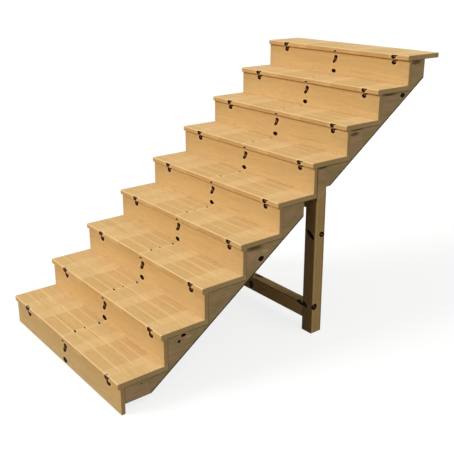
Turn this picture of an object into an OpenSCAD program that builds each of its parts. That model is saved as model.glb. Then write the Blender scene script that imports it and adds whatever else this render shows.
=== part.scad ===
// Wooden garden stair: nine boxed steps in two flights on a two-post trestle.
// The climb runs along +Y, X is across the steps and Z is up.
// The origin is on the ground, at the middle of the whole stair's plan.

/* [Steps] */
// Height from one tread's top to the next
rise = 171; // [140:1:210]
// Depth from one riser's face to the next
going = 247; // [220:1:320]
// Width across the treads and risers
stair_w = 1200; // [600:10:1600]
// How far a tread's front edge stands out past the riser below it
nosing = 13; // [0:1:30]

/* [Boards] */
// Thickness of a tread board
tread_t = 28; // [20:1:32]
// Thickness of a riser board
riser_t = 22; // [16:1:28]

/* [Stringers] */
// Thickness of a stringer plank
stringer_t = 45; // [30:1:60]
// Depth of a stringer below the line through the steps' inner corners, square to it
stringer_below = 57; // [55:1:120]
// How far a stringer's outer face is set in from the tread ends
stringer_inset = 3; // [0:1:30]
// Height of the lower stringers' level foot cut above the ground
foot_cut_h = 50; // [0:5:100]
// Gap between the lower stringers' rear cut and the posts
flight_gap = 88; // [20:1:150]
// Distance from the top riser's face to the upper stringers' rear cut
rear_cut = 147; // [80:1:200]
// Height of the upper stringers' level heel cut above the slope's end at the posts' back
heel_cut = 21; // [5:1:40]

/* [Trestle] */
// Side of a square post
post_w = 78; // [65:1:120]
// Thickness of a cross-rail, front to back
rail_t = 65; // [40:1:70]
// Height of a cross-rail
rail_h = 88; // [60:1:120]
// Height of the lower cross-rail's underside above the ground
lower_rail_z = 82; // [40:1:300]
// Distance from the underside of the fifth tread down to the upper cross-rail's underside
upper_rail_drop = 74; // [40:1:150]

/* [Hidden] */
// The steps that each flight carries
lower_steps = 5;
all_steps = 9;
// Ground position of the posts' front face: the back of the sixth riser
post_y = lower_steps * going + riser_t;
// Outer face of the stringers and posts
outer_x = stair_w / 2 - stringer_inset;
// Clear span between the posts
rail_len = 2 * (outer_x - post_w);
// Upright distance from the inner-corner line to the stringers' underside
under_drop = stringer_below * norm([going, rise]) / going;
// Half of the stair's length in plan, to centre it on the origin
mid_y = (all_steps * going + riser_t - nosing) / 2;

// Height of the stringers' underside above a point on the ground plan
function under_z(y) = y * rise / going - under_drop;

// Plan position where the stringers' underside reaches a height
function under_y(z) = (z + under_drop) * going / rise;

// Sawtooth corners for the steps from first to last: up behind each riser, then
// back under each tread, and the last tread's run stops at end_y
function sawtooth(first, last, end_y) = [
    for (i = [first:last], back = [false, true])
        [back ? (i < last ? i * going + riser_t : end_y) : (i - 1) * going + riser_t,
         i * rise - tread_t]
];

// A board cut from a side profile in (Y, Z), laid with its low X face at x
module side_plank(x, t, profile) {
    translate([x, -mid_y, 0])
        rotate([90, 0, 90])
            linear_extrude(height = t)
                polygon(profile);
}

// A full-width board, given by its front-low corner in (Y, Z) and its section
module cross_board(y, z, depth, height) {
    translate([-stair_w / 2, y - mid_y, z])
        cube([stair_w, depth, height]);
}

// Tread i reaches from its nosing back to under the whole of the next riser
module tread(i) {
    color([0.87, 0.72, 0.48])
        cross_board((i - 1) * going - nosing, i * rise - tread_t, nosing + going + riser_t, tread_t);
}

// Riser i stands on the tread below it, or on the ground, and meets tread i
module riser(i) {
    color([0.84, 0.67, 0.42])
        cross_board((i - 1) * going, (i - 1) * rise, riser_t, rise - tread_t);
}

module lower_stringer(x) {
    end_y = post_y - flight_gap;
    color([0.55, 0.44, 0.28])
        side_plank(x, stringer_t, concat(
            sawtooth(1, lower_steps, end_y),
            [[end_y, under_z(end_y)], [under_y(foot_cut_h), foot_cut_h], [riser_t, foot_cut_h]]
        ));
}

module upper_stringer(x) {
    end_y = (all_steps - 1) * going + rear_cut;
    back_y = post_y + post_w;
    heel_z = under_z(back_y) + heel_cut;
    color([0.55, 0.44, 0.28])
        side_plank(x, stringer_t, concat(
            sawtooth(lower_steps + 1, all_steps, end_y),
            [[end_y, under_z(end_y)], [under_y(heel_z), heel_z], [back_y, heel_z],
             [back_y, under_z(back_y)], [post_y, under_z(post_y)]]
        ));
}

// A post's outer part is cut on the slope and carries the stringer, and its
// inner part runs on beside the stringer to the underside of the sixth tread
module post(seat_x, tongue_x) {
    back_y = post_y + post_w;
    top_z = (lower_steps + 1) * rise - tread_t;
    color([0.5, 0.4, 0.26])
        union() {
            side_plank(seat_x, stringer_t,
                [[post_y, 0], [back_y, 0], [back_y, under_z(back_y)], [post_y, under_z(post_y)]]);
            side_plank(tongue_x, post_w - stringer_t,
                [[post_y, 0], [back_y, 0], [back_y, top_z], [post_y, top_z]]);
        }
}

module post_left() {
    post(-outer_x, stringer_t - outer_x);
}

module post_right() {
    post(outer_x - stringer_t, outer_x - post_w);
}

module cross_rail(z) {
    color([0.5, 0.4, 0.26])
        translate([-rail_len / 2, post_y - mid_y, z])
            cube([rail_len, rail_t, rail_h]);
}

module lower_cross_rail() {
    cross_rail(lower_rail_z);
}

module upper_cross_rail() {
    cross_rail(lower_steps * rise - tread_t - upper_rail_drop);
}

for (i = [1:all_steps]) {
    tread(i);
    riser(i);
}
lower_stringer(-outer_x);  // lower_stringer_left
lower_stringer(outer_x - stringer_t);  // lower_stringer_right
upper_stringer(-outer_x);  // upper_stringer_left
upper_stringer(outer_x - stringer_t);  // upper_stringer_right
post_left();
post_right();
lower_cross_rail();
upper_cross_rail();
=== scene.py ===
"""Finish, light and camera for a nine-step pine garden stair on a two-post trestle."""
import math

import bpy
from mathutils import Matrix, Vector


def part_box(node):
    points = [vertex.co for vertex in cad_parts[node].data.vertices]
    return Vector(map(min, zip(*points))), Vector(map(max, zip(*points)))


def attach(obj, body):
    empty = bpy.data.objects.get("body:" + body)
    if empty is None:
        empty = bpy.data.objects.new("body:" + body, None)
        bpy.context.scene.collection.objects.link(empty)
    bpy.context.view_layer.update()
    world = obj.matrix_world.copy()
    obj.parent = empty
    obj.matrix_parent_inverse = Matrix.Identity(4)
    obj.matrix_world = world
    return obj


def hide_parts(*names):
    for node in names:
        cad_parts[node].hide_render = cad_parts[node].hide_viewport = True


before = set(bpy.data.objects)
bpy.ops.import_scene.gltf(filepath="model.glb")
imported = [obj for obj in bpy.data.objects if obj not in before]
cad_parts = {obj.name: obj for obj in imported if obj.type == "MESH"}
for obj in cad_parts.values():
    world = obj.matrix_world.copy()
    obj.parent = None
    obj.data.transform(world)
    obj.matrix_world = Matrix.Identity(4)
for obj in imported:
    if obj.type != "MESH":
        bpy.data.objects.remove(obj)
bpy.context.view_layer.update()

STEPS = range(1, 10)
STRINGERS = ("lower_stringer_left", "lower_stringer_right", "upper_stringer_left", "upper_stringer_right")
POSTS = ("post_left", "post_right")
RAILS = ("lower_cross_rail", "upper_cross_rail")

# Sizes that every step repeats, worked out from the frame
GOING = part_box("riser_2")[0].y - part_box("riser_1")[0].y
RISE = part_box("tread_2")[1].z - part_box("tread_1")[1].z
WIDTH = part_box("tread_1")[1].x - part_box("tread_1")[0].x
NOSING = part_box("riser_1")[0].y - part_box("tread_1")[0].y

# The posts' front and back faces, how high the sloping seats on them start, and a rail's height
POST_FRONT_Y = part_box("post_right")[0].y
POST_BACK_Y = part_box("post_right")[1].y
SEAT_FRONT_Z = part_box("upper_stringer_right")[0].z
RAIL_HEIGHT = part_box("lower_cross_rail")[1].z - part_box("lower_cross_rail")[0].z

# Radius of the corners planed off, in metres
NOSING_ROUND = 0.0035
BOARD_ARRIS = 0.0015
PLANK_ARRIS = 0.005
TIMBER_ARRIS = 0.004

# Places this near each other are one place, and faces that agree this well face one way
TOUCHING = 1e-4
SAME_WAY = 0.9999
# In degrees, how nearly flat two faces are that become one, and the turn that is shaded as a curve
FLAT_WITHIN = 1
CURVED_WITHIN = 35

# The way that the corners face which take the most painted light and shade (a painted highlight on
# boards, painted shade on timbers), how far they lean that way at least, and how much the others take
UPWARD = 1
DOWNWARD = -1
LEANING = 0.2
OTHER_CORNER_SHADING = 0.35


# ---------------------------------------------------------------- camera, light and floor

CAMERA_PLACE = (3.162, -2.511, 2.024)
CAMERA_AZIMUTH = 51.60
CAMERA_TILT_DOWN = 17.62
CAMERA_LENS = 56.15
CAMERA_SENSOR = 36
CAMERA_SHIFT_UP = -0.0772

KEY_FROM = (-0.50, -1.0, 0.745)
KEY_COLOUR = (1.0, 0.98, 0.95)
KEY_STRENGTH = 2.5
KEY_WIDTH = 30
FILL_FROM = (1.0, 0.3, 1.2)
FILL_COLOUR = (1.0, 1.0, 0.97)
FILL_STRENGTH = 0.70
FILL_WIDTH = 30
SKY_COLOUR = (1.0, 0.99, 0.96)
SKY_AT_HORIZON = 0.05
SKY_OVERHEAD = 0.50
FLOOR_RADIUS = 300
FLOOR_BOUNCE = 0.06
FLOOR_GLOW = 0.80
FLOOR_TONE = 0.26


def set_camera():
    """The view, from the front right and a little above."""
    data = bpy.data.cameras.new("view")
    data.lens = CAMERA_LENS
    data.sensor_width = CAMERA_SENSOR
    data.shift_y = CAMERA_SHIFT_UP
    camera = bpy.data.objects.new("view", data)
    camera.location = CAMERA_PLACE
    camera.rotation_euler = (math.radians(90 - CAMERA_TILT_DOWN), 0, math.radians(CAMERA_AZIMUTH))
    bpy.context.scene.collection.objects.link(camera)
    bpy.context.scene.camera = camera


def seen_directly(sheet):
    """1 where the eye, a reflection or a look through glass meets it, and 0 for the light it gives."""
    path = sheet.add("LightPath").outputs
    seen = sheet.math("MAXIMUM", path["Is Camera Ray"], path["Is Glossy Ray"])
    return sheet.math("MAXIMUM", seen, path["Is Transmission Ray"])


def set_lamp(name, source, colour, strength, width):
    """A far lamp that shines from the source's direction, as wide as its degrees say."""
    data = bpy.data.lights.new(name, "SUN")
    data.energy = strength
    data.angle = math.radians(width)
    data.color = colour
    lamp = bpy.data.objects.new(name, data)
    lamp.rotation_euler = Vector(source).to_track_quat("Z", "Y").to_euler()
    bpy.context.scene.collection.objects.link(lamp)


def set_light():
    """A broad key from the front left, a weaker fill from high on the right, and a pale sky."""
    set_lamp("key", KEY_FROM, KEY_COLOUR, KEY_STRENGTH, KEY_WIDTH)
    set_lamp("fill", FILL_FROM, FILL_COLOUR, FILL_STRENGTH, FILL_WIDTH)

    world = bpy.data.worlds.new("surround")
    bpy.context.scene.world = world
    sheet = blank_sheet(world)
    sky = sheet.add("Background")
    sky.inputs["Color"].default_value = (*SKY_COLOUR, 1)
    height = sheet.split(sheet.add("TexCoord").outputs["Generated"])[2]
    sheet.feed(sky.inputs["Strength"], sheet.ramp_up(height, SKY_AT_HORIZON, SKY_OVERHEAD))
    white = sheet.add("Background")
    white.inputs["Color"].default_value = grey(1)
    mix = sheet.add("MixShader")
    sheet.feed(mix.inputs[0], seen_directly(sheet))
    sheet.feed(mix.inputs[1], sky.outputs[0])
    sheet.feed(mix.inputs[2], white.outputs[0])
    sheet.feed(sheet.add("OutputWorld").inputs["Surface"], mix.outputs[0])


def set_floor():
    """A wide pale floor: white where it is looked at, and dull in the light it sends back up."""
    bpy.ops.mesh.primitive_circle_add(vertices=96, radius=FLOOR_RADIUS, fill_type="NGON")
    floor = bpy.context.object
    floor.name = "floor"
    material = bpy.data.materials.new("pale floor")
    sheet = blank_sheet(material)
    seen = seen_directly(sheet)
    matt = sheet.add("BsdfDiffuse")
    sheet.feed(matt.inputs["Color"], sheet.blend(seen, grey(FLOOR_BOUNCE), grey(FLOOR_TONE)))
    glow = sheet.add("Emission")
    sheet.feed(glow.inputs["Strength"], sheet.math("MULTIPLY", seen, FLOOR_GLOW))
    both = sheet.add("AddShader")
    sheet.feed(both.inputs[0], matt.outputs[0])
    sheet.feed(both.inputs[1], glow.outputs[0])
    sheet.feed(sheet.add("OutputMaterial").inputs["Surface"], both.outputs[0])
    floor.data.materials.append(material)


# ---------------------------------------------------------------- boards and timbers

def deselect_all():
    for thing in bpy.context.selected_objects:
        thing.select_set(False)


def take_up(piece):
    """Makes a piece the only one selected, and the one the next tool works on."""
    deselect_all()
    piece.select_set(True)
    bpy.context.view_layer.objects.active = piece


def sawn_board(node):
    """A square-sawn board of a frame node's size, in its place."""
    low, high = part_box(node)
    deselect_all()
    bpy.ops.mesh.primitive_cube_add(size=1, location=(low + high) / 2)
    piece = bpy.context.object
    piece.name = node + "_board"
    piece.scale = high - low
    bpy.ops.object.transform_apply(location=True, rotation=True, scale=True)
    return piece


def cut_plank(node):
    """A plank or timber cut to a frame node's outline, with one flat face on each side."""
    deselect_all()
    piece = bpy.data.objects.new(node + "_timber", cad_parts[node].data.copy())
    bpy.context.scene.collection.objects.link(piece)
    piece.data.materials.clear()
    take_up(piece)
    bpy.ops.object.mode_set(mode="EDIT")
    bpy.ops.mesh.select_all(action="SELECT")
    bpy.ops.mesh.remove_doubles(threshold=TOUCHING)
    bpy.ops.mesh.dissolve_limited(angle_limit=math.radians(FLAT_WITHIN))
    bpy.ops.object.mode_set(mode="OBJECT")
    return piece


def round_nosing(tread, ends_too):
    """Rounds the two long edges at the front of a tread, and the short ones at its ends if asked."""
    front = min(v.co.y for v in tread.data.vertices)
    take_up(tread)
    bpy.context.tool_settings.mesh_select_mode = (False, True, False)
    mesh = tread.data
    for face in mesh.polygons:
        face.select = False
    for edge in mesh.edges:
        a, b = (mesh.vertices[k].co for k in edge.vertices)
        at_front = max(a.y, b.y) - front < TOUCHING
        edge.select = at_front and (ends_too or abs(a.z - b.z) < TOUCHING)
    for vertex in mesh.vertices:
        vertex.select = vertex.co.y - front < TOUCHING
    bpy.ops.object.mode_set(mode="EDIT")
    bpy.ops.mesh.bevel(offset=NOSING_ROUND, segments=4, affect="EDGES")
    bpy.ops.object.mode_set(mode="OBJECT")


def on_seat(place):
    """Whether a point lies on the sloping seat where a post carries its stringer."""
    height = SEAT_FRONT_Z + (place.y - POST_FRONT_Y) * RISE / GOING
    over_post = POST_FRONT_Y - TOUCHING < place.y < POST_BACK_Y + TOUCHING
    return over_post and abs(place.z - height) < TOUCHING


def ease_corners(piece, radius, shading_way):
    """Planes the sharp corners round, marks them for painted light and shade, and keeps the faces
    between them flat.

    The corners that face the given way, up or down, take the most: a painted highlight, partly wear,
    on boards and painted shade on timbers. A corner on a post's seat stays square, so that the post
    and its stringer meet flush.
    """
    flat_faces = [face.normal.copy() for face in piece.data.polygons]
    points = piece.data.vertices
    weights = piece.data.attributes.new("bevel_weight_edge", "FLOAT", "EDGE")
    for edge in piece.data.edges:
        square = all(on_seat(points[k].co) for k in edge.vertices)
        weights.data[edge.index].value = 0.0 if square else 1.0
    bevel = piece.modifiers.new("arris", "BEVEL")
    bevel.width = radius
    bevel.segments = 3
    bevel.limit_method = "WEIGHT"
    take_up(piece)
    bpy.ops.object.modifier_apply(modifier=bevel.name)
    arris_light_and_shade = piece.data.attributes.new("arris_light_and_shade", "FLOAT", "FACE")
    for face in piece.data.polygons:
        on_face = max(face.normal.dot(normal) for normal in flat_faces) > SAME_WAY
        shading_share = 1.0 if face.normal.z * shading_way > LEANING else OTHER_CORNER_SHADING
        arris_light_and_shade.data[face.index].value = 0.0 if on_face else shading_share
    bpy.ops.object.shade_smooth_by_angle(angle=math.radians(CURVED_WITHIN))
    normals = piece.modifiers.new("flat faces", "WEIGHTED_NORMAL")
    normals.keep_sharp = True
    bpy.ops.object.modifier_apply(modifier=normals.name)


def fit_piece(piece, node, material):
    """Gives a piece its wood and its body, and has it stand for its frame node."""
    piece.data.materials.append(material)
    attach(piece, "root")
    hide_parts(node)


# ---------------------------------------------------------------- wood

def shade(red, green, blue):
    """A colour as it is read off a paint card, in the shader's own linear terms."""
    parts = [c / 255 for c in (red, green, blue)]
    return tuple(c / 12.92 if c <= 0.04045 else ((c + 0.055) / 1.055) ** 2.4 for c in parts) + (1,)


def grey(level):
    """A colour without hue, or a level for a socket that takes a colour."""
    return (level, level, level, 1)


class Sheet:
    """A shader tree with short ways to add what the wood needs."""

    def __init__(self, tree):
        self.tree = tree

    def add(self, kind, **settings):
        """A new node of a kind."""
        made = self.tree.nodes.new("ShaderNode" + kind)
        for name, value in settings.items():
            setattr(made, name, value)
        return made

    def feed(self, socket, value):
        """Links a value into a socket or writes it there, and leaves the socket alone for None."""
        if isinstance(value, bpy.types.NodeSocket):
            self.tree.links.new(value, socket)
        elif value is not None:
            socket.default_value = value

    def math(self, operation, a, b=None, c=None):
        made = self.add("Math", operation=operation)
        for socket, value in zip(made.inputs, (a, b, c)):
            self.feed(socket, value)
        return made.outputs[0]

    def vector(self, operation, a, b=None):
        made = self.add("VectorMath", operation=operation)
        self.feed(made.inputs[0], a)
        self.feed(made.inputs[1], b)
        return made.outputs["Value" if operation == "LENGTH" else "Vector"]

    def turn(self, vector, axis, degrees):
        made = self.add("VectorRotate", rotation_type=axis + "_AXIS")
        self.feed(made.inputs["Vector"], vector)
        made.inputs["Angle"].default_value = math.radians(degrees)
        return made.outputs[0]

    def split(self, vector):
        made = self.add("SeparateXYZ")
        self.feed(made.inputs[0], vector)
        return made.outputs

    def join(self, x, y, z):
        made = self.add("CombineXYZ")
        for socket, value in zip(made.inputs, (x, y, z)):
            self.feed(socket, value)
        return made.outputs[0]

    def noise(self, vector, stretch, detail, roughness, seed):
        """A cloudy pattern about 0.5 that changes as often in a metre as the stretch says."""
        made = self.add("TexNoise", noise_dimensions="4D")
        self.feed(made.inputs["Vector"], self.vector("MULTIPLY", vector, stretch))
        made.inputs["W"].default_value = seed
        made.inputs["Scale"].default_value = 1.0
        made.inputs["Detail"].default_value = detail
        made.inputs["Roughness"].default_value = roughness
        return made.outputs["Fac"]

    def swing(self, pattern, depth, about):
        """A pattern about 0.5 made a change of the given depth about a value."""
        return self.math("MULTIPLY_ADD", self.math("SUBTRACT", pattern, 0.5), depth, about)

    def step(self, value, low, high, to_low=0.0, to_high=1.0):
        """A smooth change from to_low to to_high while the value goes from low to high."""
        made = self.add("MapRange", interpolation_type="SMOOTHSTEP")
        for name, given in (("Value", value), ("From Min", low), ("From Max", high),
                            ("To Min", to_low), ("To Max", to_high)):
            self.feed(made.inputs[name], given)
        return made.outputs["Result"]

    def ramp_up(self, value, at_zero, at_one):
        """A straight change from at_zero to at_one while the value goes from 0 to 1."""
        made = self.add("MapRange")
        self.feed(made.inputs["Value"], value)
        made.inputs["To Min"].default_value = at_zero
        made.inputs["To Max"].default_value = at_one
        return made.outputs["Result"]

    def blend(self, factor, a, b, how="MIX"):
        made = self.add("Mix", data_type="RGBA", blend_type=how)
        self.feed(made.inputs["Factor"], factor)
        self.feed(made.inputs["A"], a)
        self.feed(made.inputs["B"], b)
        return made.outputs["Result"]

    def tone(self, colour, tone):
        """The colour with its red, green and blue each made lighter or darker by a tone round 1."""
        return self.blend(1.0, colour, tone, "MULTIPLY")

    def tint(self, colour, level):
        """The colour made lighter or darker by a level round 1."""
        return self.tone(colour, self.join(level, level, level))

    def profile(self, length, points, whole):
        """A value that runs straight between (length, value) points along a whole length."""
        made = self.add("ValToRGB")
        bar = made.color_ramp.elements
        while len(bar) < len(points):
            bar.new(0.5)
        for element, (place, value) in zip(bar, points):
            element.position = place / whole
            element.color = grey(value)
        self.feed(made.inputs["Fac"], self.math("DIVIDE", length, whole))
        return made.outputs["Color"]


def blank_sheet(owner):
    """An empty shader tree for a material or for the surround."""
    owner.use_nodes = True
    owner.node_tree.nodes.clear()
    return Sheet(owner.node_tree)


EARLY_WOOD = shade(221, 184, 126)
LATE_WOOD = shade(192, 147, 90)
PALE_WOOD = shade(243, 209, 155)
KNOT_RIM = shade(30, 4, 1)
KNOT_HEART = shade(136, 88, 44)
RESIN = shade(214, 168, 84)
SCAR = shade(150, 102, 54)
# A brown for painted shade on the timbers' corners and along the stringers' lower edges and one end
PAINTED_SHADE_BROWN = shade(44, 32, 18)


def spots(sheet, place, marks):
    """How far a point is from the nearest oval mark, where 1 is on its rim.

    A mark is (centre, half sizes, axis, degrees): it is leaned about the axis.
    """
    nearest = None
    for centre, half, axis, degrees in marks:
        offset = sheet.vector("SUBTRACT", place, centre)
        if degrees:
            offset = sheet.turn(offset, axis, -degrees)
        reach = sheet.vector("LENGTH", sheet.vector("DIVIDE", offset, half))
        nearest = reach if nearest is None else sheet.math("MINIMUM", nearest, reach)
    return nearest


# How often each pattern of the grain changes in a metre, along the grain and across it
SWAYS = (1.4, 8)
FIBRES = (3, 190)
FLECKS = (26, 330)
MOTTLES = (22, 65)
CLOUDS = (1.3, 10)
# How often the rims of knots and the patches of painted light and shade on corners change, whichever way
# the grain runs
RIM_WAVES = (95, 95, 95)
CORNER_PATCHES = (60, 60, 60)

# In metres, how far the rings sway, and how far the grain is pushed aside round a knot
RING_SWAY = 0.03
KNOT_PUSH = 0.005
# How much each pattern darkens or lightens the wood
FIBRE_DEPTH = 0.22
MOTTLE_DEPTH = 0.20
FLECK_DEPTH = 0.10
# How ragged the rims of knots and scars are, in parts of their own size
RIM_RAGGED = 0.5
SCAR_RAGGED = 1.2
# How strongly each mark covers the wood
HALO_COVER = 0.35
HEART_COVER = 0.85
SCAR_COVER = 0.38
RESIN_COVER = 0.6
# How the planed surface stands up and shines
GRAIN_HEIGHT = 0.0006
GRAIN_RELIEF = 0.35
SMOOTHEST = 0.42
ROUGHER_FIBRE = 0.25
GLOSS = 0.03
# The colour painted on the planed corners, from how little to how much: a painted highlight, partly wear,
# on the boards, and painted shade on the timbers
HIGHLIT_CORNERS = (PALE_WOOD, 0.15, 0.6)
SHADED_CORNERS = (PAINTED_SHADE_BROWN, 0.7, 0.95)


def with_grain(along, changes):
    """A pattern's changes in a metre for X, Y and Z, when the grain runs along one of them."""
    slow, quick = changes
    return tuple(slow if axis == along else quick for axis in "XYZ")


def growth_rings(sheet, place, grain, seed):
    """Growth rings round a pith that runs along the grain: 0 in early wood, 1 in late wood."""
    along = grain["along"]
    x, y, z = sheet.split(place)
    first, second = {"X": (y, z), "Y": (x, z), "Z": (x, y)}[along]
    a = sheet.math("SUBTRACT", first, grain["pith"][0])
    b = sheet.math("SUBTRACT", second, grain["pith"][1])
    radius = sheet.vector("LENGTH", sheet.join(a, b, 0.0))
    sway = sheet.noise(place, with_grain(along, SWAYS), 3, 0.55, seed)
    radius = sheet.math("MULTIPLY_ADD", sway, RING_SWAY, radius)
    turn = sheet.math("FRACT", sheet.math("DIVIDE", radius, grain["spacing"]))
    return sheet.math("SUBTRACT", sheet.step(turn, 0.2, 0.88), sheet.step(turn, 0.9, 1.0))


def pine_grain(sheet, place, near_knot, grain, seed):
    """Bare pine, whose grain bends round its knots: its colour, its height and its fibres."""
    push = sheet.step(near_knot, 1.0, 3.0, KNOT_PUSH, 0.0)
    bent = sheet.vector("ADD", place, sheet.join(push, push, push))
    along = grain["along"]
    ring = growth_rings(sheet, bent, grain, seed)
    fibre = sheet.noise(bent, with_grain(along, FIBRES), 4, 0.62, seed)
    cloud = sheet.noise(place, with_grain(along, CLOUDS), 3, 0.55, seed + 3.7)
    mottle = sheet.noise(place, with_grain(along, MOTTLES), 2, 0.5, seed + 6.4)
    fleck = sheet.noise(place, with_grain(along, FLECKS), 1, 0.5, seed + 8.1)
    colour = sheet.blend(sheet.math("MULTIPLY", ring, grain["rings"]), EARLY_WOOD, LATE_WOOD)
    level = sheet.swing(cloud, grain["clouds"], 1.0)
    level = sheet.swing(fibre, FIBRE_DEPTH, level)
    level = sheet.swing(mottle, MOTTLE_DEPTH, level)
    level = sheet.math("MULTIPLY_ADD", sheet.step(fleck, 0.66, 0.74), -FLECK_DEPTH, level)
    return sheet.tint(colour, level), sheet.math("MULTIPLY_ADD", ring, 0.5, fibre), fibre


def add_scars(sheet, place, colour, scars, fibre):
    """Brown scratches with ends that fray along the fibres."""
    near = sheet.swing(fibre, SCAR_RAGGED, spots(sheet, place, scars))
    return sheet.blend(sheet.step(near, 0.5, 1.2, SCAR_COVER, 0.0), colour, SCAR)


def add_resin(sheet, place, colour, resin):
    """Soft amber stains."""
    near = spots(sheet, place, resin)
    return sheet.blend(sheet.step(near, 0.3, 1.1, RESIN_COVER, 0.0), colour, RESIN)


def add_knots(sheet, place, colour, near_rim, hearts):
    """Black knots inside a pale halo, some with a brown heart."""
    colour = sheet.blend(sheet.step(near_rim, 1.0, 1.7, HALO_COVER, 0.0), colour, PALE_WOOD)
    colour = sheet.blend(sheet.step(near_rim, 0.9, 1.12, 1.0, 0.0), colour, KNOT_RIM)
    if not hearts:
        return colour
    near_heart = spots(sheet, place, hearts)
    return sheet.blend(sheet.step(near_heart, 0.6, 1.15, HEART_COVER, 0.0), colour, KNOT_HEART)


def paint_corner_light_and_shade(sheet, place, colour, corners, seed):
    """The planed corners, painted in patches: a highlight, partly wear, on boards and shade on timbers."""
    edge, least, most = corners
    patches = sheet.noise(place, CORNER_PATCHES, 2, 0.5, seed + 5.3)
    arris_light_and_shade = sheet.add("Attribute", attribute_name="arris_light_and_shade").outputs["Fac"]
    corner_light_shade = sheet.math("MULTIPLY", arris_light_and_shade, sheet.step(patches, 0.35, 0.6, least, most))
    return sheet.blend(corner_light_shade, colour, edge)


def planed_surface(sheet, colour, height, fibre):
    """A dull surface whose grain stands a little proud."""
    bump = sheet.add("Bump")
    bump.inputs["Strength"].default_value = GRAIN_RELIEF
    bump.inputs["Distance"].default_value = GRAIN_HEIGHT
    sheet.feed(bump.inputs["Height"], height)
    surface = sheet.add("BsdfPrincipled")
    sheet.feed(surface.inputs["Base Color"], colour)
    sheet.feed(surface.inputs["Roughness"], sheet.math("MULTIPLY_ADD", fibre, ROUGHER_FIBRE, SMOOTHEST))
    surface.inputs["Specular IOR Level"].default_value = GLOSS
    sheet.feed(surface.inputs["Normal"], bump.outputs[0])
    sheet.feed(sheet.add("OutputMaterial").inputs["Surface"], surface.outputs[0])


def wood(name, grain, seed, figure, rims, hearts=(), scars=(), resin=(), offset=(0, 0, 0),
         corners=HIGHLIT_CORNERS):
    """Planed pine, with its places counted from the offset.

    The rims, hearts, scars and resin are oval marks. The figure adds what only this kind of board
    has, some of it painted light and shade, and the corners give the colour painted on its planed
    corners: a highlight, partly wear, on boards and shade on timbers.
    """
    material = bpy.data.materials.new(name)
    sheet = blank_sheet(material)
    place = sheet.vector("ADD", sheet.add("TexCoord").outputs["Object"], offset)
    waves = sheet.noise(place, RIM_WAVES, 2, 0.5, seed)
    near_rim = sheet.swing(waves, RIM_RAGGED, spots(sheet, place, rims))
    colour, height, fibre = pine_grain(sheet, place, near_rim, grain, seed)
    colour = figure(sheet, place, colour, seed)
    if scars:
        colour = add_scars(sheet, place, colour, scars, fibre)
    if resin:
        colour = add_resin(sheet, place, colour, resin)
    colour = add_knots(sheet, place, colour, near_rim, hearts)
    colour = paint_corner_light_and_shade(sheet, place, colour, corners, seed)
    planed_surface(sheet, colour, height, fibre)
    return material


# ---------------------------------------------------------------- steps

# Marks on every tread, from the riser's face and the tread's top: two knots with a tail each and
# a dash on the nosing, and three small knots in a row on the top
NOSING_RIMS = (
    ((-0.428, -NOSING, -0.014), (0.0195, 0.02, 0.0138), "Y", 0),
    ((-0.414, -NOSING, -0.006), (0.021, 0.01, 0.005), "Y", -8),
    ((0.490, -NOSING, -0.014), (0.0175, 0.02, 0.013), "Y", 0),
    ((0.503, -NOSING, -0.006), (0.019, 0.01, 0.004), "Y", -8),
    ((0.025, -NOSING, -0.021), (0.014, 0.01, 0.005), "Y", 0),
)
NOSING_HEARTS = (
    ((-0.424, -NOSING, -0.012), (0.005, 0.01, 0.005), "Y", 0),
    ((0.497, -NOSING, -0.012), (0.008, 0.01, 0.005), "Y", 0),
)
TREAD_RIMS = NOSING_RIMS + (
    ((0.009, 0.214, 0.0), (0.014, 0.0043, 0.02), "Z", -16),
    ((0.008, 0.126, 0.0), (0.010, 0.0030, 0.02), "Z", -16),
    ((0.011, 0.067, 0.0), (0.014, 0.0043, 0.02), "Z", -16),
)
TREAD_SCARS = (
    ((-0.395, 0.209, 0.0), (0.016, 0.003, 0.02), "Z", -25),
    ((-0.280, 0.130, 0.0), (0.035, 0.0022, 0.02), "Z", 0),
    ((0.130, 0.131, 0.0), (0.090, 0.0020, 0.02), "Z", 0),
    ((0.345, 0.240, 0.0), (0.080, 0.0022, 0.02), "Z", 1),
    ((0.330, 0.172, 0.0), (0.050, 0.0020, 0.02), "Z", -2),
)
# Marks on every riser, from its face and the tread's top above it
RISER_RIMS = (
    ((-0.430, 0.0, -0.048), (0.020, 0.02, 0.0165), "Y", 0),
    ((-0.416, 0.0, -0.036), (0.021, 0.01, 0.005), "Y", -8),
    ((0.486, 0.0, -0.048), (0.018, 0.02, 0.0145), "Y", 0),
    ((0.499, 0.0, -0.036), (0.019, 0.01, 0.004), "Y", -8),
    ((0.025, 0.0, -0.058), (0.0165, 0.02, 0.012), "Y", 10),
    ((0.020, 0.0, -0.073), (0.013, 0.02, 0.026), "Y", 26),
    ((0.007, 0.0, -0.090), (0.010, 0.02, 0.010), "Y", 0),
    ((0.010, 0.0, -0.148), (0.0205, 0.02, 0.0135), "Y", 0),
)
RISER_HEARTS = (
    ((-0.427, 0.0, -0.044), (0.005, 0.01, 0.005), "Y", 0),
    ((0.491, 0.0, -0.043), (0.008, 0.01, 0.006), "Y", 0),
    ((0.017, 0.0, -0.073), (0.006, 0.01, 0.013), "Y", 26),
)
RISER_RESIN = (((0.017, 0.0, -0.113), (0.012, 0.02, 0.013), "Y", 20),)
RISER_SCARS = (
    ((0.215, 0.0, -0.137), (0.065, 0.02, 0.0020), "Y", 2),
    ((0.300, 0.0, -0.132), (0.060, 0.02, 0.0015), "Y", -3),
    ((-0.170, 0.0, -0.144), (0.006, 0.02, 0.0045), "Y", 20),
    ((-0.390, 0.0, -0.156), (0.025, 0.02, 0.0025), "Y", -8),
)

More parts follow.
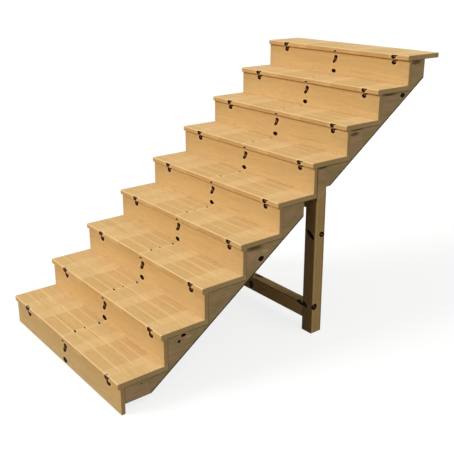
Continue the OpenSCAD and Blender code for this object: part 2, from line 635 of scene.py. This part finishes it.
# Where the staves of a tread meet, from the riser's face, and how plainly the pale edge of
# the next stave shows along each joint, from the left end
JOINT_EDGES = (
    (0.205, ((0.0, 0.2), (0.02, 0.5), (0.12, 0.5), (0.15, 0.0), (0.33, 0.0), (0.37, 0.9), (0.58, 1.0),
             (0.61, 0.1), (0.65, 0.3), (0.72, 0.3), (0.76, 0.0), (0.82, 0.0), (0.85, 0.9), (1.08, 0.9),
             (1.12, 0.0))),
    (0.140, ((0.0, 0.5), (0.14, 0.7), (0.18, 0.1), (0.29, 0.1), (0.33, 0.8), (0.59, 0.9), (0.62, 0.2),
             (0.65, 0.9), (1.09, 0.9), (1.12, 0.0))),
    (0.058, ((0.0, 0.6), (0.18, 0.8), (0.22, 0.0), (0.34, 0.0), (0.38, 0.9), (0.59, 1.0), (0.62, 0.1),
             (0.66, 0.4), (0.73, 0.3), (0.77, 0.0), (0.81, 0.0), (0.84, 0.9), (1.09, 0.9), (1.12, 0.0))),
)
# How dark each finger-jointed length of the staves is, from the left end
LENGTH_TONES = (
    (0.0, 0.6), (0.125, 0.6), (0.14, 0.0), (0.205, 0.1), (0.22, 0.4), (0.28, 0.4), (0.295, 0.0),
    (0.37, 0.0), (0.38, 1.0), (0.595, 1.0), (0.605, 0.1), (0.63, 0.1), (0.64, 0.7), (0.74, 0.6),
    (0.755, 0.0), (0.825, 0.0), (0.84, 1.0), (1.045, 1.0), (1.06, 0.1), (1.11, 0.1), (1.125, 0.4),
    (1.2, 0.4),
)
# How the log lies in the boards of a step: the way the grain runs, the pith's place across it, how
# far apart the rings are, and how plainly the rings and the clouding show
TREAD_GRAIN = {"along": "X", "pith": (0.11, -0.16), "spacing": 0.006, "rings": 0.2, "clouds": 0.2}
RISER_GRAIN = {"along": "X", "pith": (0.16, -0.09), "spacing": 0.006, "rings": 0.12, "clouds": 0.2}
# How large the knots are on the first step, where 1 is the size given above, how much they shrink
# with each step up, and the least they come to
FIRST_KNOTS = 1.16
KNOTS_SHRINK = 0.06
LEAST_KNOTS = 0.95
# In metres, where a tread pales towards its back, the painted shade under the nosing fades down a riser,
# a joint's pale line fades out and how ragged it is, and the painted highlight along the nosing fades out
TREAD_PALES = (0.10, 0.24)
RISER_SHADE_FADES = (-0.02, -0.17)
JOINT_FADES = (0.0035, 0.007)
JOINT_RAGGED = 0.004
NOSING_HIGHLIGHT_FADES = (0.002, 0.007)
# Tones that the figure gives the bare pine: staves, a tread's back, painted shade on a tread's front face,
# and painted shade under the nosing down a riser
LIGHT_STAVE = (1.05, 1.08, 1.15, 1)
DARK_STAVE = (0.94, 0.92, 0.89, 1)
TREAD_BACK = (1.03, 1.08, 1.18, 1)
NOSING_FACE_SHADE = (0.97, 0.89, 0.79, 1)
RISER_TOP_SHADE = (0.92, 0.87, 0.79, 1)
RISER_FOOT = (0.96, 0.97, 0.99, 1)
# How strongly the pale edges of the joints and the nosing's painted highlight cover the wood
JOINT_COVER = 0.75
NOSING_HIGHLIGHT_COVER = 0.7


def stave_figure(sheet, place, colour, seed):
    """Edge-glued staves with darker finger-jointed lengths and a pale edge along each joint, painted shade
    on the front face and a painted highlight, partly wear, along the nosing's top edge.
    """
    x, y, z = sheet.split(place)
    along = sheet.math("ADD", x, WIDTH / 2)
    tone = sheet.profile(along, LENGTH_TONES, WIDTH)
    colour = sheet.tone(colour, sheet.blend(tone, LIGHT_STAVE, DARK_STAVE))
    colour = sheet.tone(colour, sheet.blend(sheet.step(y, *TREAD_PALES), grey(1.0), TREAD_BACK))
    ragged = sheet.noise(place, (30, 300, 300), 2, 0.5, seed)
    on_top = sheet.step(z, -0.004, -0.002, 0.0, JOINT_COVER)
    for joint, edges in JOINT_EDGES:
        away = sheet.math("ABSOLUTE", sheet.math("SUBTRACT", y, joint))
        away = sheet.math("MULTIPLY_ADD", ragged, JOINT_RAGGED, away)
        line = sheet.step(away, *JOINT_FADES, 1.0, 0.0)
        shown = sheet.math("MULTIPLY", line, sheet.profile(along, edges, WIDTH))
        colour = sheet.blend(sheet.math("MULTIPLY", shown, on_top), colour, PALE_WOOD)
    # Painted shade on the tread's front face
    on_front = sheet.step(y, 0.0005 - NOSING, 0.003 - NOSING, 1.0, 0.0)
    colour = sheet.blend(on_front, colour, sheet.tone(colour, NOSING_FACE_SHADE))
    # A painted highlight, partly wear, along the nosing's front top edge
    from_edge = sheet.vector("LENGTH", sheet.join(0.0, sheet.math("ADD", y, NOSING), z))
    nosing_highlight = sheet.step(from_edge, *NOSING_HIGHLIGHT_FADES, NOSING_HIGHLIGHT_COVER, 0.0)
    return sheet.blend(nosing_highlight, colour, PALE_WOOD)


def riser_figure(sheet, place, colour, seed):
    """Painted shade under the nosing along the top of the board, which pales towards its foot."""
    z = sheet.split(place)[2]
    return sheet.tone(colour, sheet.blend(sheet.step(z, *RISER_SHADE_FADES), RISER_TOP_SHADE, RISER_FOOT))


def step_offset(i):
    """The move that brings a step's riser face and its tread's top to 0."""
    return (0, -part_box(f"riser_{i}")[0].y, -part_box(f"tread_{i}")[1].z)


def knots_on_step(rims, i):
    """The rims of a step's knots, with every half size made larger or smaller."""
    size = max(LEAST_KNOTS, FIRST_KNOTS - KNOTS_SHRINK * (i - 1))
    return [(centre, tuple(size * part for part in half), axis, turn) for centre, half, axis, turn in rims]


def shaped_board(node):
    """A step's board with its corners planed. The lowest tread's front is rounded at its ends too."""
    board = sawn_board(node)
    if node.startswith("tread"):
        round_nosing(board, ends_too=node == "tread_1")
    ease_corners(board, BOARD_ARRIS, UPWARD)
    return board


def copied_board(model, model_node, node):
    """A copy of a shaped board, with its own mesh, in the place of another node of its size."""
    board = model.copy()
    board.data = model.data.copy()
    board.name = node + "_board"
    board.data.transform(Matrix.Translation(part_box(node)[0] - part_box(model_node)[0]))
    bpy.context.scene.collection.objects.link(board)
    return board


def step_boards():
    """Every step's boards by their nodes: those above the second step are copies of its own."""
    boards = {}
    for i in STEPS:
        for kind in ("tread", "riser"):
            node = f"{kind}_{i}"
            model = f"{kind}_2"
            boards[node] = shaped_board(node) if i <= 2 else copied_board(boards[model], model, node)
    return boards


def make_steps():
    """Each step's tread and riser, as if cut in turn from one log."""
    boards = step_boards()
    for i in STEPS:
        tread = f"tread_{i}"
        fit_piece(boards[tread], tread, wood(
            f"tread pine {i}", TREAD_GRAIN, i * 1.7, stave_figure, knots_on_step(TREAD_RIMS, i),
            hearts=NOSING_HEARTS, scars=TREAD_SCARS, offset=step_offset(i)))
        riser = f"riser_{i}"
        fit_piece(boards[riser], riser, wood(
            f"riser pine {i}", RISER_GRAIN, i * 2.3 + 20, riser_figure, knots_on_step(RISER_RIMS, i),
            hearts=RISER_HEARTS, scars=RISER_SCARS, resin=RISER_RESIN, offset=step_offset(i)))


# ---------------------------------------------------------------- stringers and trestle

# How the log lies in each timber, as for the boards of a step
STRINGER_GRAIN = {"along": "Y", "pith": (0.4, 0.3), "spacing": 0.011, "rings": 0.22, "clouds": 0.5}
POST_GRAIN = {"along": "Z", "pith": (0.5, 0.12), "spacing": 0.009, "rings": 0.3, "clouds": 0.4}
RAIL_GRAIN = {"along": "X", "pith": (0.02, -0.1), "spacing": 0.009, "rings": 0.3, "clouds": 0.4}

# Knots through the stringers: place along from the first riser's face and up, and half sizes
STRINGER_KNOTS = (
    (0.364, 0.300, 0.021, 0.010), (0.338, 0.274, 0.013, 0.010), (0.864, 0.575, 0.024, 0.018),
    (1.936, 1.317, 0.024, 0.018), (0.118, 0.125, 0.006, 0.004), (0.161, 0.112, 0.005, 0.003),
)
# Dark streaks close under the treads: painted shade under their overhang, partly dark heartwood
UNDER_TREAD_SHADE_STREAKS = (
    (1.294, 0.992, 0.045, 0.008), (1.559, 1.165, 0.062, 0.006), (1.541, 1.142, 0.042, 0.012),
    (1.816, 1.332, 0.068, 0.009), (2.036, 1.498, 0.055, 0.014), (0.823, 0.646, 0.062, 0.017),
)
# Pale smudges beside the stringers' knots
STRINGER_SMUDGES = ((0.892, 0.612, 0.032, 0.012), (0.394, 0.283, 0.022, 0.009))
# Marks on a post, inwards, back and up from its outer front corner at the foot
POST_KNOTS = (
    ((0.0, 0.055, 0.604), (0.02, 0.021, 0.016), "X", -20),
    ((-0.033, 0.0, 0.605), (0.035, 0.02, 0.0145), "Y", 38),
    ((0.0, 0.019, 0.167), (0.02, 0.020, 0.020), "X", 0),
    ((-0.063, 0.0, 0.168), (0.028, 0.02, 0.015), "Y", 25),
)
POST_HEARTS = (
    ((0.0, 0.057, 0.602), (0.02, 0.013, 0.008), "X", -20),
    ((0.0, 0.016, 0.170), (0.02, 0.007, 0.006), "X", 0),
)
# Marks on a cross-rail, from its middle and its lower front edge
RAIL_KNOTS = (
    ((0.062, 0.0, 0.038), (0.022, 0.02, 0.024), "Y", 0),
    ((0.085, 0.045, 0.088), (0.035, 0.012, 0.02), "Z", 15),
    ((0.500, 0.0, 0.080), (0.032, 0.03, 0.008), "Y", 12),
)
RAIL_HEARTS = (((0.064, 0.0, 0.038), (0.007, 0.02, 0.009), "Y", 0),)

# Tones that the weather gives the bare pine, and the colour of the painted shade streaks under the treads
OLIVE = (0.92, 0.98, 0.86, 1)
RUSSET = (1.06, 0.94, 0.92, 1)
GREY_OLIVE = (0.78, 0.86, 0.86, 1)
DUSTY_PINK = (1.00, 0.98, 1.27, 1)
LIKE_POST = (1.12, 1.07, 0.86, 1)
SHADE_STREAK = shade(88, 60, 34)
# How strongly each mark covers the wood, and how ragged its rim is
SHADE_STREAK_COVER = 0.75
SMUDGE_COVER = 0.8
EDGE_SHADE_COVER = 0.85
STREAK_RAGGED = 1.0
# In metres in from the edge that they follow, where the painted shade along the edges starts and where it
# fades out
EDGE_SHADE_STARTS = (0.0003, 0.0010)
SLOPE_SHADE_FADES = (0.0105, 0.0150)
END_SHADE_FADES = (0.0060, 0.0085)
# How far above its seat a stringer goes on in its post's tone
LIKE_POST_HEIGHT = 0.10
# How light the post is from its front face back to its rear corner: painted shade on the front face and at
# the rear corner, a painted highlight just behind the front corner, and wood bands between
POST_BANDS_LIGHT_AND_SHADE = (
    (0.0, 0.82), (0.0012, 0.82), (0.003, 1.12), (0.015, 1.08), (0.024, 0.96), (0.05, 1.0),
    (0.066, 0.97), (0.071, 0.6), (0.076, 0.5), (0.0777, 0.95), (0.078, 1.0),
)
# How light a rail is painted on its faces, and how dark on its top: painted light and painted shade
RAIL_FACE_PAINTED_LIGHT = 1.50
RAIL_TOP_PAINTED_SHADE = 0.72


def weathered(sheet, place, colour, seed, stretch, tones=(OLIVE, RUSSET)):
    """Streaks of two tones along the grain, as on timber that has stood outside."""
    drift = sheet.step(sheet.noise(place, stretch, 3, 0.6, seed + 11.0), 0.35, 0.65)
    return sheet.tone(colour, sheet.blend(drift, *tones))


def stringer_marks(table):
    """Oval marks that go right through a stringer, from places along and up it."""
    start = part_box("riser_1")[0].y
    return [((0, start + y, z), (1, half_y, half_z), "X", 0) for y, z, half_y, half_z in table]


def stringer_figure(sheet, place, colour, seed):
    """Painted shade in dark streaks under the treads, partly heartwood, pale smudges beside the knots, and
    painted shade along the edges.
    """
    y, z = sheet.split(place)[1:]
    flat = sheet.join(0.0, y, z)
    frays = sheet.noise(place, (200, 14, 220), 3, 0.6, seed)
    colour = weathered(sheet, place, colour, seed, (6, 7, 20), (GREY_OLIVE, DUSTY_PINK))
    for marks, cover, mark in ((STRINGER_SMUDGES, SMUDGE_COVER, PALE_WOOD),
                               (UNDER_TREAD_SHADE_STREAKS, SHADE_STREAK_COVER, SHADE_STREAK)):
        near = sheet.swing(frays, STREAK_RAGGED, spots(sheet, flat, stringer_marks(marks)))
        colour = sheet.blend(sheet.step(near, 0.4, 1.25, cover, 0.0), colour, mark)
    return painted_edge_shade(sheet, y, z, colour)


def edge_shade(sheet, inwards, fades):
    """How strongly painted shade covers the wood, by how far in from its edge it is."""
    return sheet.math("MULTIPLY", sheet.step(inwards, *EDGE_SHADE_STARTS),
                      sheet.step(inwards, *fades, EDGE_SHADE_COVER, 0.0))


def painted_edge_shade(sheet, y, z, colour):
    """Painted shade: a dark line along a stringer's sloping lower edge, and one up its end behind
    the sixth riser.

    The slope's line stops over a post's seat, where the stringer takes on the post's own tone.
    """
    slope = RISE / GOING
    foot = SEAT_FRONT_Z - POST_FRONT_Y * slope
    above_edge = sheet.math("SUBTRACT", sheet.math("MULTIPLY_ADD", y, -slope, z), foot)
    over_post = sheet.math("MULTIPLY", sheet.step(y, POST_FRONT_Y - 0.002, POST_FRONT_Y - 0.001),
                           sheet.step(y, POST_BACK_Y, POST_BACK_Y + 0.002, 1.0, 0.0))
    near_seat = sheet.math("MULTIPLY", over_post, sheet.step(above_edge, 0.0, LIKE_POST_HEIGHT, 1.0, 0.0))
    colour = sheet.blend(near_seat, colour, sheet.tone(colour, LIKE_POST))
    along_slope = sheet.math("MULTIPLY", edge_shade(sheet, above_edge, SLOPE_SHADE_FADES),
                             sheet.math("SUBTRACT", 1.0, over_post))
    up_end = edge_shade(sheet, sheet.math("SUBTRACT", y, POST_FRONT_Y), END_SHADE_FADES)
    return sheet.blend(sheet.math("MAXIMUM", along_slope, up_end), colour, PAINTED_SHADE_BROWN)


def post_figure(sheet, place, colour, seed):
    """Upright bands of lighter and darker wood, with painted shade on the front face and at the rear
    corner and a painted highlight just behind the front corner.
    """
    behind_front = sheet.math("SUBTRACT", sheet.split(place)[1], POST_FRONT_Y)
    colour = sheet.tint(colour, sheet.profile(behind_front, POST_BANDS_LIGHT_AND_SHADE, POST_BACK_Y - POST_FRONT_Y))
    return weathered(sheet, place, colour, seed, (55, 55, 1.6))


def rail_figure(sheet, place, colour, seed):
    """A rail painted lighter on its faces and darker on its top, as painted light and shade."""
    z = sheet.split(place)[2]
    level = sheet.step(z, RAIL_HEIGHT - 0.008, RAIL_HEIGHT - 0.002, RAIL_FACE_PAINTED_LIGHT, RAIL_TOP_PAINTED_SHADE)
    return weathered(sheet, place, sheet.tint(colour, level), seed, (2.2, 40, 40))


def on_post(marks, node):
    """A post's marks in their places, turned the other way round for the post on the left."""
    low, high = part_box(node)
    side = 1 if high.x > 0 else -1
    outer = high.x if side == 1 else low.x
    return [((outer + side * x, low.y + y, low.z + z), half, axis, turn if axis == "X" else side * turn)
            for (x, y, z), half, axis, turn in marks]


def pine_name(node):
    return node.replace("_", " ") + " pine"


def make_stringers():
    for k, node in enumerate(STRINGERS):
        piece = cut_plank(node)
        ease_corners(piece, PLANK_ARRIS, DOWNWARD)
        fit_piece(piece, node, wood(
            pine_name(node), STRINGER_GRAIN, k * 3.1 + 40, stringer_figure,
            stringer_marks(STRINGER_KNOTS), corners=SHADED_CORNERS))


def make_posts():
    for k, node in enumerate(POSTS):
        piece = cut_plank(node)
        ease_corners(piece, TIMBER_ARRIS, DOWNWARD)
        fit_piece(piece, node, wood(
            pine_name(node), POST_GRAIN, k * 3.1 + 50, post_figure, on_post(POST_KNOTS, node),
            hearts=on_post(POST_HEARTS, node), corners=SHADED_CORNERS))


def make_rails():
    for k, node in enumerate(RAILS):
        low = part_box(node)[0]
        piece = sawn_board(node)
        ease_corners(piece, TIMBER_ARRIS, DOWNWARD)
        fit_piece(piece, node, wood(
            pine_name(node), RAIL_GRAIN, k * 3.1 + 60, rail_figure, RAIL_KNOTS, hearts=RAIL_HEARTS,
            offset=(0, -low.y, -low.z), corners=SHADED_CORNERS))


set_camera()
set_light()
set_floor()
make_steps()
make_stringers()
make_posts()
make_rails()

bpy.context.scene.view_settings.view_transform = "Standard"
